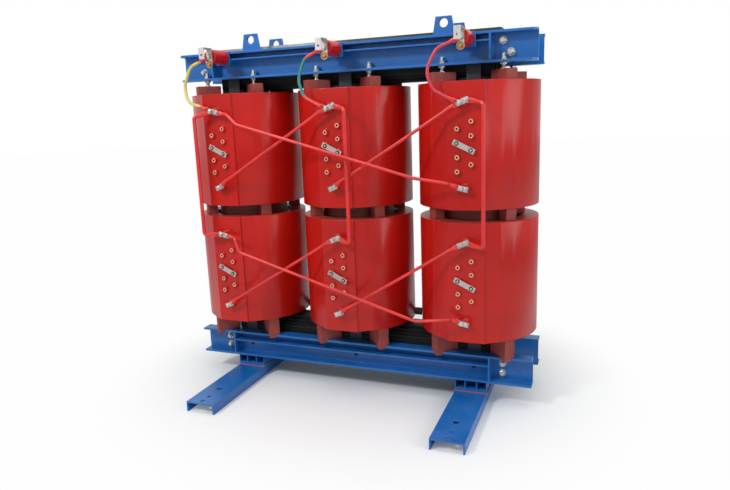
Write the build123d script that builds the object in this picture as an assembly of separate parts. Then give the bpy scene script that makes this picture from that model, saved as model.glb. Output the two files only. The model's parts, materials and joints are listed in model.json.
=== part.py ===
from build123d import *
import math
import os

os.makedirs("parts", exist_ok=True)

# Cast-resin dry-type distribution transformer, three phases side by side along X.
# X runs along the three coils, Y from front (-) to rear (+), Z up from the floor.

# ---- overall stance -------------------------------------------------------
GAUGE = 1435.0            # rail centre to rail centre
RAIL_W = 180.0
RAIL_H = 60.0
RAIL_L = 1530.0
RAIL_T = 8.0
RAIL_HOLES = ((562.0, 17.0), (670.0, 11.0), (732.0, 13.5))
PAD_T = 4.5               # elastomer strip between rail and pedestal
PAD_OVER = 5.0
PED_H = 68.5
PED_Y = 189.0             # half length of a pedestal along Y
PED_T = 8.0
PED_Z0 = RAIL_H + PAD_T
GUSSETS = (-33.0, 33.0)

# ---- phases ---------------------------------------------------------------
PITCH = 727.0
PHASES = (-PITCH, 0.0, PITCH)
PHASE_NAMES = ("left", "centre", "right")

# ---- clamp frames, and the lower pair ---------------------------------------
COIL_R = 328.0
CLAMP_HALF = PITCH + COIL_R + 1.0
CLAMP_IN = 133.0          # inner face of each web, from the core's mid-plane
WEB_T = 8.0
CLAMP_OUT = 206.0         # outer edge of the flanges
FLANGE_T = 12.0
CLAMP_LOW_H = 160.0
CLAMP_UP_H = 155.0
STIFF_X = PITCH + 96.0
STIFF_T = 10.0
RIB_T = 8.0
CORNER = 30.0             # clipped corner of the upper flange
BOLT_HOLE_R = 12.0
FAR = 3 * CLAMP_HALF      # reaches past everything, for cutting tools
LOW_Z0 = PED_Z0 + PED_H
LOW_Z1 = LOW_Z0 + CLAMP_LOW_H
RIB_LOW_Z = LOW_Z0 + 104.0
BOLT_HOLE_Z = LOW_Z0 + 63.0   # hole in the lower webs below each limb

# ---- windings -------------------------------------------------------------
FOOT_H = 118.0            # lower coil's foot above the lower clamps
COIL_BORE = 238.0
COIL_H = 651.0
COIL_GAP = 68.0
COIL_Z0 = LOW_Z1 + FOOT_H
LEVELS = (COIL_Z0, COIL_Z0 + COIL_H + COIL_GAP)
LEVEL_NAMES = ("lower", "upper")
COIL_TOP = LEVELS[1] + COIL_H
LV_R0 = 152.0
LV_R1 = 212.0
LV_DUCT = 5.0
LV_DUCT_DEPTH = 40.0
PANEL_Y = COIL_R + 5.0
PANEL_HALF = 96.5
PANEL_STEP = 9.0

# ---- blocks ---------------------------------------------------------------
BLOCK_W = 62.0
BLOCK_IN = 140.0
BLOCK_OUT = 300.0
BLOCK_SIDE = CLAMP_IN + 1.0
TOP_BLOCK_H = 54.0
LIP = 17.0
ANGLES = (45, 135, 225, 315)

# ---- upper clamps ---------------------------------------------------------
STUD_GAP = 32.0           # from the top blocks to the upper clamps
UP_Z0 = COIL_TOP + TOP_BLOCK_H + STUD_GAP
UP_Z1 = UP_Z0 + CLAMP_UP_H
RIB_UP_Z = UP_Z1 - 40.0

# ---- core -----------------------------------------------------------------
PACKETS = ((60.0, 260.0), (88.0, 225.0), (106.0, 192.0), (118.0, 161.0), (128.0, 127.0))
YOKE_H = 250.0
YOKE_LOW_Z0 = LOW_Z0 + 2.0
YOKE_UP_Z1 = UP_Z1 + 30.0
TIE_W = 76.0
TIE_Z0 = LOW_Z0 + 17.0
TIE_Z1 = UP_Z1 - 32.0

# ---- taps and coil terminals ---------------------------------------------
TAP_X = -8.0
TAP_DX = 36.0
TAP_DZ = 36.0
TAP_R = 17.0
TAP_OUT = 13.0
INSERT_R = 12.5
INSERT_OUT = 1.5
LINK_L = 122.0
LINK_W = 28.0
LINK_T = 6.0
LINK_AF = 17.0
LINK_HEAD = 6.0
TERM_IN = 102.0           # terminal height below a coil's top, or above its foot
TERM_FOOT_UP = 14.0       # foot terminals sit this much higher
TERM_BOSS_R = 24.0
TERM_BOSS = 35.0
TOP_BAR_L = 66.0
FOOT_BAR_L = 54.0
BAR_W = 27.0
BAR_T = 6.0
BAR_END = 15.0            # bolt centre from a bar's end
BAR_SHIFT = 8.0           # the right coil's bars sit this far to the left
BAR_FACE = -PANEL_Y - TERM_BOSS
PALM_FACE = BAR_FACE - BAR_T
PALM_T = 5.0
PALM_W = 26.0
BOLT_HEAD = 8.0
BOLT_AF = 19.0

# ---- pressing studs -------------------------------------------------------
STUD_DX = 160.0
STUD_Y = 168.0
STUD_R = 10.0
STUD_TOP = 46.0
NUT_AF = 32.0
NUT_H = 16.0
WASHER_R = 19.0
WASHER_T = 3.0

# ---- cross bolts tying front and rear clamps ------------------------------
UPPER_BOLTS = ((PITCH + 153.0, UP_Z1 - 45.0), (PITCH + 193.0, UP_Z1 - 104.0))
LOWER_BOLTS = ((PITCH + 163.0, LOW_Z0 + 103.0), (PITCH + 163.0, LOW_Z0 + 47.0))
ROD_R = 11.0
SLEEVE_R = 18.0
ROD_HOLE = ROD_R + 1.0
ROD_OVER = 26.0           # rod end beyond the web

# ---- lifting lugs ---------------------------------------------------------
LUG_X = 576.0
LUG_Y = 144.0
LUG_T = 16.0
LUG_H = 95.0
LUG_W0 = 118.0
LUG_W1 = 84.0
LUG_HOLE = 23.0
LUG_HOLE_UP = 62.0

# ---- terminal insulators on the front upper clamp -------------------------
INS_DX = (-12.0, -22.0, -20.0)
INS_Z = UP_Z1 - 33.0
INS_R0 = 43.0
INS_R1 = 39.0
INS_L = 130.0
BRACKET_T = 8.0
BRACKET_HALF = 47.0
BRACKET_DROP = 42.0
BRACKET_Y = CLAMP_OUT + BRACKET_T
STRAP_W = 35.0
STRAP_T = 5.0
STRAP_TOP = 43.0
STRAP_DEPTH = 80.0
STRAP_REAR_Y = -BRACKET_Y - INS_L
STRAP_HOLE_R = 7.0
STRAP_HOLE_UP = 2.0
TAB_DROP = 20.0
RING_DROP = 44.0
RING_R = 21.0
RING_T = 5.0
PLATE_DROP = 53.0

# ---- conductors -----------------------------------------------------------
DIAG_R = 8.5
RISER_R = 11.0
LEAD_R = 8.5
BARREL = 20.0             # crimp barrel length
BARREL_AT = 28.0          # barrel's start from the bolt
BARREL_WALL = 1.0
STUB = 10.0               # straight run that leaves a barrel
LAYER_GAP = 2.5           # air between conductors that cross
DIAG_Y = PALM_FACE - DIAG_R - BARREL_WALL
RISER_Y = DIAG_Y - DIAG_R - RISER_R - LAYER_GAP
CROSS_Y = RISER_Y - DIAG_R - RISER_R - LAYER_GAP
DIAG_RUN = 42.0           # a diagonal's bend beyond its lug
DIAG_BEND = 40.0
RISER_BEND = 20.0
RISER_OUT = (112.0, 99.0, 102.0)
# Where the long links bend, as (X, Y, Z) from the nearer lug, Y from their own plane.
UPPER_CROSS = ((46.0, 8.0, 0.0), (112.0, 0.0, -60.0), (-190.0, 0.0, 40.0), (-22.0, 6.0, 14.0))
UPPER_BENDS = (40.0, 60.0, 90.0, 40.0)
LOWER_CROSS = ((36.0, 10.0, 6.0), (68.0, 0.0, -78.0), (-193.0, 0.0, -10.0), (-23.0, 6.0, 10.0))
LOWER_BENDS = (24.0, 50.0, 90.0, 40.0)
# Where a lead bends: X from its limb, Y, and Z from its strap or its coil terminal.
LEAD_HIGH = (-132.0, -365.0, -51.0)
LEAD_MID = (-168.0, -376.0, -159.0)
LEAD_LOW = (-136.0, -386.0, 59.0)
LEAD_BULGE = ((4.0, 10.0, 22.0), (2.0, 4.0, 4.0), (8.0, 24.0, 15.0))
LEAD_BENDS = (70.0, 90.0, 70.0)

# ---- low-voltage bars at the rear -----------------------------------------
LV_BAR_W = 90.0
LV_BAR_T = 12.0
LV_BAR_IN = (LV_R0 + LV_R1) / 2 + 8.0
LV_BAR_OUT = 330.0
LV_BAR_STUB = 38.0        # shelf top above the coils
LV_BAR_UP = 178.0         # bar's top above the coils
LV_HOLE_R = 7.0
LV_HOLE_DX = 22.0
LV_HOLES_Z = (110.0, 155.0)
STAR_Y = 240.0
STAR_H = 60.0


def box(x0, x1, y0, y1, z0, z1):
    """An axis-aligned block given by its faces."""
    centre = Pos((x0 + x1) / 2, (y0 + y1) / 2, (z0 + z1) / 2)
    return centre * Box(abs(x1 - x0), abs(y1 - y0), abs(z1 - z0))


def rod_y(x, z, radius, y0, y1):
    """A round bar along Y."""
    return Pos(x, (y0 + y1) / 2, z) * Rot(90, 0, 0) * Cylinder(radius, abs(y1 - y0))


def rod_z(x, y, radius, z0, z1):
    """A round bar along Z."""
    return Pos(x, y, (z0 + z1) / 2) * Cylinder(radius, abs(z1 - z0))


def hexagon(across_flats, height):
    """A hexagonal prism standing on Z = 0."""
    return extrude(RegularPolygon(across_flats / math.sqrt(3), 6), amount=height)


def hex_z(x, y, across_flats, z0, z1):
    """A hexagon head or nut along Z."""
    return Pos(x, y, z0) * hexagon(across_flats, z1 - z0)


def hex_y(x, z, across_flats, y_face, height, side):
    """A hexagon head standing off a face at y_face, outwards on the given side."""
    turn = Rot(90, 0, 0) if side < 0 else Rot(-90, 0, 0)
    return Pos(x, y_face, z) * turn * hexagon(across_flats, height)


def group(solids):
    """Separate solids carried in one file."""
    flat = []
    for item in solids:
        flat.extend(item.solids())
    return Compound(flat)


# ---- rails, pads, pedestals ----------------------------------------------
def rail(side):
    """Inverted channel on the floor with its web upwards."""
    x = side * GAUGE / 2
    half = RAIL_W / 2
    body = box(x - half, x + half, -RAIL_L / 2, RAIL_L / 2, 0, RAIL_H)
    hollow = box(x - half + RAIL_T, x + half - RAIL_T, -RAIL_L, RAIL_L, -1, RAIL_H - RAIL_T)
    body = body - hollow
    for y, radius in RAIL_HOLES:
        body = body - rod_z(x, -y, radius, 0, RAIL_H + 1) - rod_z(x, y, radius, 0, RAIL_H + 1)
    return body


def pads():
    """Elastomer strips lying on the rails under the pedestals."""
    half = RAIL_W / 2 + PAD_OVER
    reach = PED_Y + PAD_OVER
    z1 = RAIL_H + PAD_T
    return group([box(s * GAUGE / 2 - half, s * GAUGE / 2 + half, -reach, reach, RAIL_H, z1)
                  for s in (-1, 1)])


def pedestal(side):
    """Welded cross box carrying both lower clamps, open at its ends in three cells."""
    x = side * GAUGE / 2
    half = RAIL_W / 2
    body = box(x - half, x + half, -PED_Y, PED_Y, PED_Z0, LOW_Z0)
    edges = [-half] + list(GUSSETS) + [half]
    for a, b in zip(edges[:-1], edges[1:]):
        body = body - box(x + a + PED_T / 2, x + b - PED_T / 2, -FAR, FAR,
                          PED_Z0 + PED_T * 2, LOW_Z0 - PED_T)
    return body


# ---- clamps ---------------------------------------------------------------
def clamp(side, z0, z1, rib_z, bolts, low):
    """Channel-shaped clamp: web, two flanges, end stiffeners and a rib between them."""
    y_in = CLAMP_IN
    y_web = CLAMP_IN + WEB_T
    web = box(-CLAMP_HALF, CLAMP_HALF, y_in, y_web, z0, z1)
    body = web + box(-CLAMP_HALF, CLAMP_HALF, y_in, CLAMP_OUT, z0, z0 + FLANGE_T)
    body = body + box(-CLAMP_HALF, CLAMP_HALF, y_in, CLAMP_OUT, z1 - FLANGE_T, z1)
    for s in (-1, 1):
        body = body + box(s * STIFF_X - STIFF_T / 2, s * STIFF_X + STIFF_T / 2,
                          y_in, CLAMP_OUT, z0, z1)
    body = body + box(-STIFF_X, STIFF_X, y_in, CLAMP_OUT, rib_z - RIB_T, rib_z)
    for s in (-1, 1):
        for bx, bz in bolts:
            body = body - rod_y(s * bx, bz, ROD_HOLE, 0, FAR)
    if low:
        for x in PHASES:
            body = body - rod_y(x, BOLT_HOLE_Z, BOLT_HOLE_R, 0, FAR)
    else:
        for x in PHASES:
            for s in (-1, 1):
                body = body - rod_z(x + s * STUD_DX, STUD_Y, STUD_R + 1, z0 - 1, z0 + FLANGE_T + 1)
        for s in (-1, 1):
            corner = Pos(s * CLAMP_HALF, CLAMP_OUT, z1) * Rot(0, 0, 45) * Box(CORNER, CORNER, FAR)
            body = body - corner
    if side < 0:
        body = mirror(body, about=Plane.XZ)
    return body.solids()[0]


def lug(side_x, side_y):
    """Trapezoid lifting eye welded on top of an upper clamp."""
    outline = Polygon((-LUG_W0 / 2, 0), (LUG_W0 / 2, 0), (LUG_W1 / 2, LUG_H), (-LUG_W1 / 2, LUG_H),
                      align=None)
    hole = Pos(0, LUG_HOLE_UP) * Circle(LUG_HOLE)
    plate = extrude(Plane.XZ * (outline - hole), amount=LUG_T)
    y = -LUG_Y if side_y < 0 else LUG_Y + LUG_T
    return Pos(side_x * LUG_X, y, UP_Z1) * plate


# ---- core -----------------------------------------------------------------
def limb(x):
    """Wound-coil limb: packets of steps inside a circle."""
    z0 = YOKE_LOW_Z0 + YOKE_H
    z1 = YOKE_UP_Z1 - YOKE_H
    body = None
    for depth, width in PACKETS:
        slab = box(x - width / 2, x + width / 2, -depth, depth, z0, z1)
        body = slab if body is None else body + slab
    return body


def yoke(z0):
    """Horizontal yoke with the same stepped packets."""
    mid = z0 + YOKE_H / 2
    reach = PITCH + PACKETS[0][1] / 2
    body = None
    for depth, width in PACKETS:
        half = width / PACKETS[0][1] * YOKE_H / 2
        end = reach - (PACKETS[0][1] - width) / 2
        slab = box(-end, end, -depth, depth, mid - half, mid + half)
        body = slab if body is None else body + slab
    return body


def tie_plates(side):
    """Flat steel straps along the limbs from lower to upper clamp."""
    y0 = PACKETS[-1][0]
    straps = [box(x - TIE_W / 2, x + TIE_W / 2, side * y0, side * CLAMP_IN, TIE_Z0, TIE_Z1)
              for x in PHASES]
    return group(straps)


# ---- windings -------------------------------------------------------------
def tangent_point(px, py, radius, turn):
    """Point where a line from (px, py) touches a circle about the origin."""
    far = math.hypot(px, py)
    angle = math.atan2(py, px) + turn * math.acos(radius / far)
    return radius * math.cos(angle), radius * math.sin(angle)


def coil_section():
    """Round casting with a flat tap panel: tangent at its left, one small step at its right."""
    left = (-PANEL_HALF, -PANEL_Y)
    right = (PANEL_HALF, -PANEL_Y)
    step = (PANEL_HALF, -PANEL_Y + PANEL_STEP)
    touch_left = tangent_point(left[0], left[1], COIL_R, -1)
    touch_right = tangent_point(step[0], step[1], COIL_R, 1)
    nose = Polygon((0, 0), touch_left, left, right, step, touch_right, align=None)
    return (Circle(COIL_R) + nose) - Circle(COIL_BORE)


def tap_points(z_mid):
    """The eight tap centres, two staggered columns, counted downwards."""
    points = []
    for k in range(8):
        side = 1 if k % 2 == 0 else -1
        points.append((TAP_X + side * TAP_DX, z_mid + (3.5 - k) * TAP_DZ))
    return points


def hv_coil(x, z0):
    """One resin-cast high-voltage coil with its tap and terminal bosses."""
    body = Pos(x, 0, z0) * extrude(coil_section(), amount=COIL_H)
    mid = z0 + COIL_H / 2
    for tx, tz in tap_points(mid):
        body = body + rod_y(x + tx, tz, TAP_R, -PANEL_Y + 5, -PANEL_Y - TAP_OUT)
    for tz in (z0 + COIL_H - TERM_IN, z0 + TERM_IN + TERM_FOOT_UP):
        body = body + rod_y(x, tz, TERM_BOSS_R, -PANEL_Y + 5, -PANEL_Y - TERM_BOSS)
    return body.solids()[0]


def lv_coil(x):
    """Low-voltage foil winding, full height, in two shells with a narrow duct."""
    mid = (LV_R0 + LV_R1) / 2
    ring = Circle(LV_R1) - Circle(LV_R0)
    body = Pos(x, 0, COIL_Z0) * extrude(ring, amount=COIL_TOP - COIL_Z0)
    groove = Circle(mid + LV_DUCT / 2) - Circle(mid - LV_DUCT / 2)
    length = LV_DUCT_DEPTH + 1
    body = body - Pos(x, 0, COIL_TOP - LV_DUCT_DEPTH) * extrude(groove, amount=length)
    body = body - Pos(x, 0, COIL_Z0 - 1) * extrude(groove, amount=length)
    return body.solids()[0]


def tap_inserts():
    """Brass inserts standing a little proud of the open tap bosses."""
    solids = []
    face = -PANEL_Y - TAP_OUT
    for x in PHASES:
        for z0 in LEVELS:
            for k, (tx, tz) in enumerate(tap_points(z0 + COIL_H / 2)):
                if k not in (3, 4):
                    solids.append(rod_y(x + tx, tz, INSERT_R, face, face - INSERT_OUT))
    return group(solids)


def tap_links():
    """Plated links across the two middle taps of every coil."""
    solids = []
    face = -PANEL_Y - TAP_OUT
    tilt = math.degrees(math.atan2(TAP_DZ, 2 * TAP_DX))
    for x in PHASES:
        for z0 in LEVELS:
            place = Pos(x + TAP_X, face - LINK_T / 2, z0 + COIL_H / 2) * Rot(0, tilt, 0)
            solids.append(place * Box(LINK_L, LINK_T, LINK_W))
    return group(solids)


def tap_link_bolts():
    """Hexagon heads holding the links."""
    solids = []
    face = -PANEL_Y - TAP_OUT - LINK_T
    for x in PHASES:
        for z0 in LEVELS:
            taps = tap_points(z0 + COIL_H / 2)
            for tx, tz in (taps[3], taps[4]):
                solids.append(hex_y(x + tx, tz, LINK_AF, face, LINK_HEAD, -1))
    return group(solids)


# ---- coil terminals -------------------------------------------------------
def terminal_z(level, top):
    z0 = LEVELS[level]
    return z0 + COIL_H - TERM_IN if top else z0 + TERM_IN + TERM_FOOT_UP


def bar_x(x):
    """Centre of a coil's terminal bars."""
    return x - BAR_SHIFT if x > 0 else x


def bar_length(top):
    return TOP_BAR_L if top else FOOT_BAR_L


def terminal_bars():
    """Plated two-bolt bars on the terminal bosses."""
    solids = []
    for x in PHASES:
        for level in (0, 1):
            for top in (True, False):
                z = terminal_z(level, top)
                place = Pos(bar_x(x), BAR_FACE - BAR_T / 2, z) * Rot(0, BAR_TILT[(x, level, top)], 0)
                solids.append(place * Box(bar_length(top), BAR_T, BAR_W))
    return group(solids)


def bar_tilts():
    """Lean of every terminal bar, in degrees about Y."""
    tilts = {}
    for x in PHASES:
        for level in (0, 1):
            tilts[(x, level, True)] = 14.0 if x < 0 else -22.0
            tilts[(x, level, False)] = 14.0 if x > 0 else -22.0
    return tilts


BAR_TILT = bar_tilts()


def bolt_point(x, level, top, side):
    """Centre of the left or right bolt of one terminal bar."""
    tilt = math.radians(BAR_TILT[(x, level, top)])
    z = terminal_z(level, top)
    off = side * (bar_length(top) / 2 - BAR_END)
    return bar_x(x) + off * math.cos(tilt), z - off * math.sin(tilt)


def cable_lug(bx, bz, angle, y_face, radius, palm_w=PALM_W):
    """Crimp lug: round-nosed palm about a bolt and a barrel leaving at an angle in XZ."""
    half = palm_w / 2
    palm = box(0, BARREL_AT + PALM_T, -PALM_T, 0, -half, half) + rod_y(0, 0, half, -PALM_T, 0)
    barrel_r = radius + BARREL_WALL
    barrel = Rot(0, 90, 0) * Cylinder(barrel_r, BARREL)
    barrel = Pos(BARREL_AT + BARREL / 2, -barrel_r, 0) * barrel
    shape = palm + barrel
    return Pos(bx, y_face, bz) * Rot(0, -angle, 0) * shape


def lug_exit(bx, bz, angle, y_face, radius, further=0.0):
    """Where the conductor leaves a lug's barrel, or a point further along its axis."""
    reach = BARREL_AT + BARREL + further
    a = math.radians(angle)
    return (bx + reach * math.cos(a), y_face - radius - BARREL_WALL, bz + reach * math.sin(a))


def tube(points, radii, radius):
    """A conductor of constant section along straight runs with tangent arcs."""
    line = FilletPolyline(*points, radius=radii)
    start = Vector(*points[1]) - Vector(*points[0])
    profile = Plane(origin=points[0], z_dir=start) * Circle(radius)
    return sweep(profile, path=line)


class Conductor:
    """One insulated conductor with a lug at each end."""

    def __init__(self, name, ends, via, radii, radius):
        self.name = name
        self.ends = ends
        self.via = via
        self.radii = radii
        self.radius = radius

    def lugs(self):
        return [cable_lug(*end, self.radius) for end in self.ends]

    def body(self):
        head = [lug_exit(*self.ends[0], self.radius), lug_exit(*self.ends[0], self.radius, STUB)]
        tail = [lug_exit(*self.ends[1], self.radius, STUB), lug_exit(*self.ends[1], self.radius)]
        small = self.radius * 1.6
        radii = [small] + list(self.radii) + [small]
        return tube(head + list(self.via) + tail, radii, self.radius)


def end_at(x, level, top, side, angle, layer=0):
    """Bolt centre, leaving angle and seat of one conductor end."""
    bx, bz = bolt_point(x, level, top, side)
    return (bx, bz, angle, PALM_FACE - layer * PALM_T)


def diagonal(name, from_x, to_x, level):
    """Straight link from one coil's top terminal down to its left neighbour's foot terminal."""
    start = end_at(from_x, level, True, -1, 205)
    finish = end_at(to_x, level, False, 1, 40)
    a = lug_exit(*start, DIAG_R)
    b = lug_exit(*finish, DIAG_R)
    run = math.atan2(a[2] - b[2], a[0] - b[0])
    dx = DIAG_RUN * math.cos(run)
    dz = DIAG_RUN * math.sin(run)
    via = [(a[0] - dx, DIAG_Y, a[2] - dz - 1), (b[0] + dx, DIAG_Y, b[2] + dz - 1)]
    return Conductor(name, (start, finish), via, [DIAG_BEND, DIAG_BEND], DIAG_R)


def cross(name, level, angles, offsets, bends):
    """Long link over the front of one level, left coil's top to right coil's foot."""
    start = end_at(-PITCH, level, True, 1, angles[0])
    finish = end_at(PITCH, level, False, -1, angles[1])
    a = lug_exit(*start, DIAG_R)
    b = lug_exit(*finish, DIAG_R)
    via = []
    for near, (dx, dy, dz) in zip((a, a, b, b), offsets):
        via.append((near[0] + dx, CROSS_Y + dy, near[2] + dz))
    return Conductor(name, (start, finish), via, bends, DIAG_R)


def riser(name, phase, side, top_angle, foot_angle):
    """Vertical link that joins the top terminals of the upper and lower coils."""
    x = PHASES[phase]
    start = end_at(x, 1, True, side, top_angle)
    finish = end_at(x, 0, True, side, foot_angle)
    a = lug_exit(*start, RISER_R, STUB)
    b = lug_exit(*finish, RISER_R, STUB)
    column = x + side * RISER_OUT[phase]
    via = [(column, RISER_Y, a[2] - STUB), (column, RISER_Y, b[2] - STUB / 2)]
    return Conductor(name, (start, finish), via, [RISER_BEND, RISER_BEND], RISER_R)


def lead(name, phase):
    """Flexible lead from an insulator strap to the upper coil's top terminal."""
    x = PHASES[phase]
    axis = insulator_axes()[phase]
    start = (axis, INS_Z, 205, STRAP_REAR_Y - STRAP_T)
    finish = end_at(x, 1, True, -1, 152, 1)
    bulge = LEAD_BULGE[phase]
    foot = terminal_z(1, True)
    via = [(x + LEAD_HIGH[0] - bulge[0], LEAD_HIGH[1], INS_Z + LEAD_HIGH[2]),
           (x + LEAD_MID[0] - bulge[1], LEAD_MID[1], INS_Z + LEAD_MID[2]),
           (x + LEAD_LOW[0] - bulge[2], LEAD_LOW[1], foot + LEAD_LOW[2])]
    return Conductor(name, (start, finish), via, LEAD_BENDS, LEAD_R)


# ---- blocks ---------------------------------------------------------------
def radial_bar(x, angle, z0, z1, inner):
    """Bar of block width pointing outwards from a limb's axis."""
    bar = box(inner, BLOCK_OUT, -BLOCK_W / 2, BLOCK_W / 2, z0, z1)
    return Pos(x, 0, 0) * Rot(0, 0, angle) * bar


def trimmed(bar, z0, z1):
    """The part of a bar standing clear of the yoke's and clamps' inner planes."""
    keep = box(-FAR, FAR, BLOCK_SIDE, FAR, z0, z1) + box(-FAR, FAR, -FAR, -BLOCK_SIDE, z0, z1)
    return bar & keep


def top_blocks():
    """Four blocks per phase between the upper coil and the pressing studs."""
    z1 = COIL_TOP + TOP_BLOCK_H
    return group([trimmed(radial_bar(x, a, COIL_TOP, z1, BLOCK_IN), COIL_TOP, z1)
                  for x in PHASES for a in ANGLES])


def spacer_blocks():
    """Four blocks per phase between the two high-voltage coils."""
    z0 = LEVELS[0] + COIL_H
    return group([radial_bar(x, a, z0, LEVELS[1], COIL_BORE) for x in PHASES for a in ANGLES])


def foot_blocks():
    """Four blocks per phase on the lower clamps, each with a lip over the flange edge."""
    solids = []
    side = CLAMP_OUT + 1
    seat = box(-FAR, FAR, -side, side, 0, LOW_Z1)
    for x in PHASES:
        for a in ANGLES:
            bar = trimmed(radial_bar(x, a, LOW_Z1 - LIP, COIL_Z0, BLOCK_IN), LOW_Z1 - LIP, COIL_Z0)
            solids.append(bar - seat)
    return group(solids)


# ---- pressing studs -------------------------------------------------------
def studs():
    """Threaded studs through the upper clamps' lower flanges onto the blocks."""
    z0 = COIL_TOP + TOP_BLOCK_H
    z1 = UP_Z0 + STUD_TOP
    return group([rod_z(x + s * STUD_DX, side * STUD_Y, STUD_R, z0, z1)
                  for x in PHASES for s in (-1, 1) for side in (-1, 1)])


def stud_nuts():
    """One nut above and one below the flange on every stud."""
    solids = []
    bore = STUD_R
    for x in PHASES:
        for s in (-1, 1):
            for side in (-1, 1):
                cx = x + s * STUD_DX
                cy = side * STUD_Y
                above = UP_Z0 + FLANGE_T
                upper = hex_z(cx, cy, NUT_AF, above, above + NUT_H)
                lower = hex_z(cx, cy, NUT_AF, UP_Z0 - NUT_H * 0.7, UP_Z0)
                drill = rod_z(cx, cy, bore, 0, FAR)
                solids.extend([upper - drill, lower - drill])
    return group(solids)


# ---- cross bolts ----------------------------------------------------------
def cross_rods(bolts):
    """Through rods with spacer sleeves between the webs."""
    face = CLAMP_IN + WEB_T
    reach = face + ROD_OVER
    solids = []
    for s in (-1, 1):
        for bx, bz in bolts:
            rod = rod_y(s * bx, bz, ROD_R, -reach, reach)
            sleeve = rod_y(s * bx, bz, SLEEVE_R, -CLAMP_IN, CLAMP_IN)
            solids.append(rod + sleeve)
    return group(solids)


def rod_nuts():
    """Nut and washer on both ends of every cross rod."""
    face = CLAMP_IN + WEB_T
    solids = []
    for bolts in (UPPER_BOLTS, LOWER_BOLTS):
        for s in (-1, 1):
            for side in (-1, 1):
                for bx, bz in bolts:
                    x = s * bx
                    nut = hex_y(x, bz, NUT_AF, side * (face + WASHER_T), NUT_H, side)
                    disc = rod_y(x, bz, WASHER_R + 2, side * face, side * (face + WASHER_T))
                    drill = rod_y(x, bz, ROD_R, -FAR, FAR)
                    solids.append((nut + disc) - drill)
    return group(solids)


# ---- insulators -----------------------------------------------------------
def insulator_axes():
    """X of the three insulators."""
    return [x + dx for x, dx in zip(PHASES, INS_DX)]


def insulator_brackets():
    """Plates welded across the upper front clamp's flange and rib."""
    solids = []
    z0 = INS_Z - BRACKET_DROP
    for axis in insulator_axes():
        left = axis - BRACKET_HALF
        solids.append(box(left, left + 2 * BRACKET_HALF, -BRACKET_Y, -CLAMP_OUT, z0, UP_Z1))
    return group(solids)


def insulators():
    """Cast post insulators standing out to the front."""
    solids = []
    for axis in insulator_axes():
        place = Pos(axis, -BRACKET_Y - INS_L / 2, INS_Z) * Rot(90, 0, 0)
        solids.append(place * Cone(INS_R0, INS_R1, INS_L))
    return group(solids)


def terminal_straps():
    """Aluminium straps folded forwards over the insulators, with the customer's hole."""
    solids = []
    front = STRAP_REAR_Y - STRAP_DEPTH
    top = INS_Z + STRAP_TOP
    for axis in insulator_axes():
        a = axis - STRAP_W / 2
        b = a + STRAP_W
        rear = box(a, b, STRAP_REAR_Y - STRAP_T, STRAP_REAR_Y, INS_Z - PLATE_DROP, top)
        roof = box(a, b, front, STRAP_REAR_Y, top - STRAP_T, top)
        tab = box(a, b, front, front + STRAP_T, INS_Z - TAB_DROP, top)
        hole = rod_y(axis, INS_Z + STRAP_HOLE_UP, STRAP_HOLE_R, front - 1, front + STRAP_T + 1)
        solids.append(rear + roof + tab - hole)
    return group(solids)


def strap_bolts():
    """Axis bolt over the lead's lug and the brass bolt at each strap's foot."""
    solids = []
    face = STRAP_REAR_Y - STRAP_T
    for axis in insulator_axes():
        solids.append(hex_y(axis, INS_Z, BOLT_AF, face - PALM_T, BOLT_HEAD, -1))
        foot = rod_y(axis, INS_Z - RING_DROP, RING_R, face, face - RING_T)
        head = hex_y(axis, INS_Z - RING_DROP, BOLT_AF, face - RING_T, BOLT_HEAD, -1)
        solids.append(foot + head)
    return group(solids)


def terminal_bolts():
    """Hexagon heads on the coil terminals, over every conductor palm."""
    solids = []
    for x in PHASES:
        for level in (0, 1):
            for side in (-1, 1):
                layers = top_layers(x, level, side)
                bx, bz = bolt_point(x, level, True, side)
                solids.append(hex_y(bx, bz, BOLT_AF, PALM_FACE - layers * PALM_T, BOLT_HEAD, -1))
            for side in (-1, 1):
                used = (side > 0) if x < PITCH - 1 else (side < 0)
                bx, bz = bolt_point(x, level, False, side)
                face = PALM_FACE - (PALM_T if used else 0)
                solids.append(hex_y(bx, bz, BOLT_AF, face, BOLT_HEAD, -1))
    return group(solids)


def top_layers(x, level, side):
    """How many palms lie on one bolt of a top terminal."""
    layers = 1
    if level == 1 and side < 0:
        layers = 2
    return layers


# ---- low-voltage bars at the rear ----------------------------------------
def lv_bars():
    """Flat bars rising from each low-voltage winding to the rear terminals."""
    solids = []
    y0 = LV_BAR_IN
    y1 = LV_BAR_OUT
    half = LV_BAR_W / 2
    shelf_top = COIL_TOP + LV_BAR_STUB
    shelf_z = shelf_top - LV_BAR_T
    for x in PHASES:
        stub = box(x - half, x + half, y0, y0 + LV_BAR_T, COIL_TOP, shelf_top)
        shelf = box(x - half, x + half, y0, y1, shelf_z, shelf_top)
        bar = stub + shelf + box(x - half, x + half, y1 - LV_BAR_T, y1, shelf_z, COIL_TOP + LV_BAR_UP)
        for dx in (-LV_HOLE_DX, LV_HOLE_DX):
            for dz in LV_HOLES_Z:
                bar = bar - rod_y(x + dx, COIL_TOP + dz, LV_HOLE_R, y0, FAR)
        solids.append(bar)
    return group(solids)


def lv_star_bar():
    """Neutral bar joining the feet of the three low-voltage windings at the rear."""
    half = LV_BAR_W / 2
    z1 = COIL_Z0 - LV_BAR_T
    body = box(-PITCH - half, PITCH + half, STAR_Y, STAR_Y + LV_BAR_T, z1 - STAR_H + LV_BAR_T, z1)
    for x in PHASES:
        body = body + box(x - half, x + half, LV_BAR_IN, STAR_Y + LV_BAR_T, z1 - LV_BAR_T, z1)
        body = body + box(x - half, x + half, LV_BAR_IN, LV_BAR_IN + LV_BAR_T, z1 - LV_BAR_T, COIL_Z0)
    return body.solids()[0]


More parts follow.
